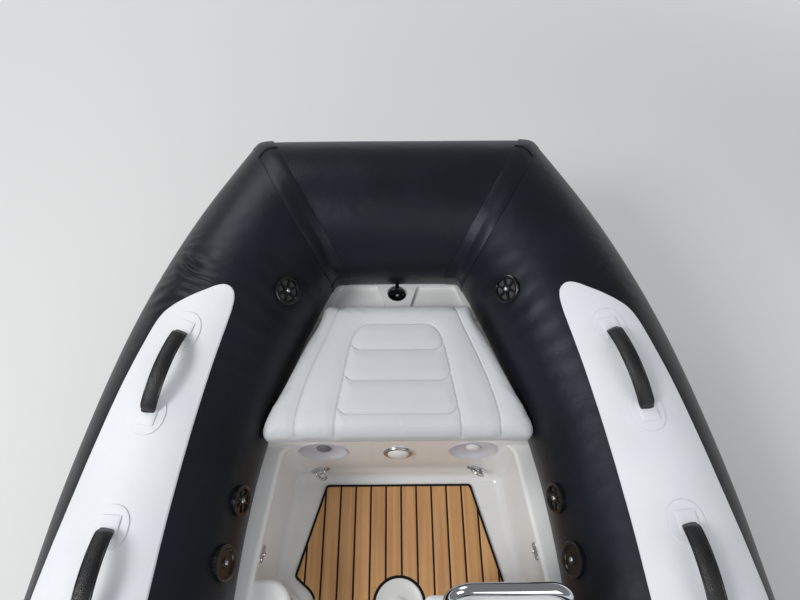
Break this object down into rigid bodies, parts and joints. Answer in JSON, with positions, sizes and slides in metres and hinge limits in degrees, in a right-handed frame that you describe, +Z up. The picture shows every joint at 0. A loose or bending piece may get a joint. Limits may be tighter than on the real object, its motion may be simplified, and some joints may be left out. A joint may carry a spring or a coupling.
{
  "type": "inflatable rib boat",
  "caption": "Inflatable rigid-hull tender with a squared bow, side console, bow locker under a cushioned lid, teak sole and a tilting outboard motor.",
  "frame": {"origin": "underside of the flat keel pad, on the centre line, 1300 mm ahead of the transom's aft face", "axes": "+X to the bow, +Y to port, +Z up"},
  "size_m": [4.0638, 1.7572, 1.1852],
  "materials": {
    "black_tube_fabric": "matt coated fabric",
    "white_tube_fabric": "matt coated fabric",
    "black_rubber": "matt ribbed strake",
    "black_grip": "pebbled soft grip",
    "black_plastic": "satin moulded",
    "white_gelcoat": "gloss gelcoat",
    "white_plastic": "satin moulded",
    "teak": "sanded planks with black caulking",
    "stainless": "polished stainless steel",
    "grey_vinyl": "soft grained vinyl",
    "black_paint": "satin paint"
  },
  "bodies": {
    "boat": {"collar_port": "black_tube_fabric", "collar_starboard": "black_tube_fabric", "collar_bow": "black_tube_fabric", "stern_cones": "black_tube_fabric", "wear_panel_port": "white_tube_fabric", "wear_panel_starboard": "white_tube_fabric", "seam_tapes": "black_tube_fabric", "rub_strake_port": "black_rubber", "rub_strake_starboard": "black_rubber", "rub_strake_bow": "black_rubber", "handle_grips": "black_grip", "handle_patches": "white_tube_fabric", "valves": "black_plastic", "hull": "white_gelcoat", "deck_liner": "white_gelcoat", "transom": "white_gelcoat", "bow_locker": "white_gelcoat", "bow_step": "white_gelcoat", "lid_hinges": "stainless", "teak_pad": "teak", "deck_well": "white_plastic", "side_locker": "white_gelcoat", "locker_dishes": "white_plastic", "locker_latch": "white_plastic", "pad_eyes": "stainless", "bow_eye": "stainless", "stern_eyes": "stainless", "console": "white_gelcoat", "dash_panel": "black_plastic", "throttle": "black_plastic", "grab_rail": "stainless", "seat_base": "white_gelcoat", "seat_cushion": "grey_vinyl", "seat_back": "grey_vinyl", "clamp_bracket": "black_paint"},
    "locker_lid": {"locker_lid": "white_gelcoat", "bow_cushion": "grey_vinyl"},
    "steering_wheel": {"steering_wheel": "black_plastic"},
    "motor_tilt": {"swivel_bracket": "black_paint"},
    "motor": {"midsection": "black_paint", "gearcase": "black_paint", "cowl": "black_paint"},
    "propeller": {"propeller": "black_paint"}
  },
  "joints": [
    {"name": "locker_lid_hinge", "type": "hinge", "parent": "boat", "child": "locker_lid", "pos_m": [1.283, 0, 0.54], "axis": [0, 1, 0], "range_deg": [0, 50]},
    {"name": "steering_wheel_turn", "type": "hinge", "parent": "boat", "child": "steering_wheel", "pos_m": [0.21815, -0.183, 0.6679], "axis": [-0.8829, 0, 0.4695], "range_deg": [-450, 450]},
    {"name": "motor_tilt", "type": "hinge", "parent": "boat", "child": "motor_tilt", "pos_m": [-1.345, 0, 0.56], "axis": [0, 1, 0], "range_deg": [-65, 0]},
    {"name": "motor_steer", "type": "hinge", "parent": "motor_tilt", "child": "motor", "pos_m": [-1.46038, 0, 0.59447], "axis": [0.9063, 0, 0.4226], "range_deg": [-30, 30]},
    {"name": "propeller_spin", "type": "hinge", "parent": "motor", "child": "propeller", "pos_m": [-2.13506, 0, 0.59322], "axis": [-0.4226, 0, 0.9063], "continuous": true}
  ],
  "couplings": [
    {"joint": "steering_wheel_turn", "follows": "motor_steer", "ratio": -15}
  ]
}
